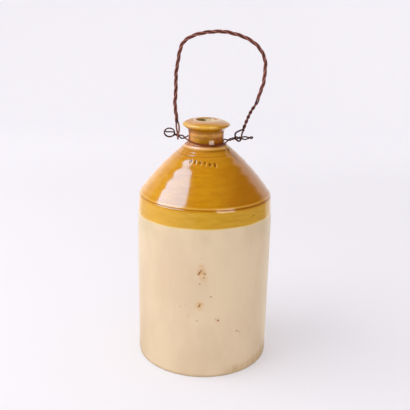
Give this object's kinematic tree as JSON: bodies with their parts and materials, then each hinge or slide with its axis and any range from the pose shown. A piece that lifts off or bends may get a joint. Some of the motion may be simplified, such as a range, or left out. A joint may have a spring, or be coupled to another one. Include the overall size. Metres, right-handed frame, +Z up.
{
  "type": "stoneware jug",
  "caption": "Stoneware flagon with a steep shoulder, a short neck with a domed lip, a twisted wire round the neck and a twisted wire bail that swings over the mouth.",
  "frame": {"origin": "centre of the base, on the surface that the jug stands on", "axes": "+Z up along the jug's axis and out of its mouth, X along the line that the bail swings about, with the neck wire's ring at -X and its long twisted ear at +X"},
  "size_m": [0.17, 0.17, 0.4142],
  "materials": {
    "bare_stoneware": "bare fired clay, matt",
    "cream_glaze": "gloss, with small iron spots",
    "ochre_glaze": "gloss, mottled",
    "neck_wire": "dark rusted iron wire",
    "bail_wire": "red brown rusted iron wire"
  },
  "bodies": {
    "jug": {"stoneware_body": "bare_stoneware", "cream_glaze": "cream_glaze", "ochre_glaze": "ochre_glaze"},
    "collar": {"neck_wire": "neck_wire"},
    "bail": {"bail_wire": "bail_wire"}
  },
  "joints": [
    {"name": "collar_turn", "type": "hinge", "parent": "jug", "child": "collar", "pos_m": [0, 0, 0.28], "axis": [0, 0, 1], "continuous": true},
    {"name": "bail_swing", "type": "hinge", "parent": "collar", "child": "bail", "pos_m": [0, 0, 0.287], "axis": [1, 0, 0], "range_deg": [-128, 128]}
  ]
}
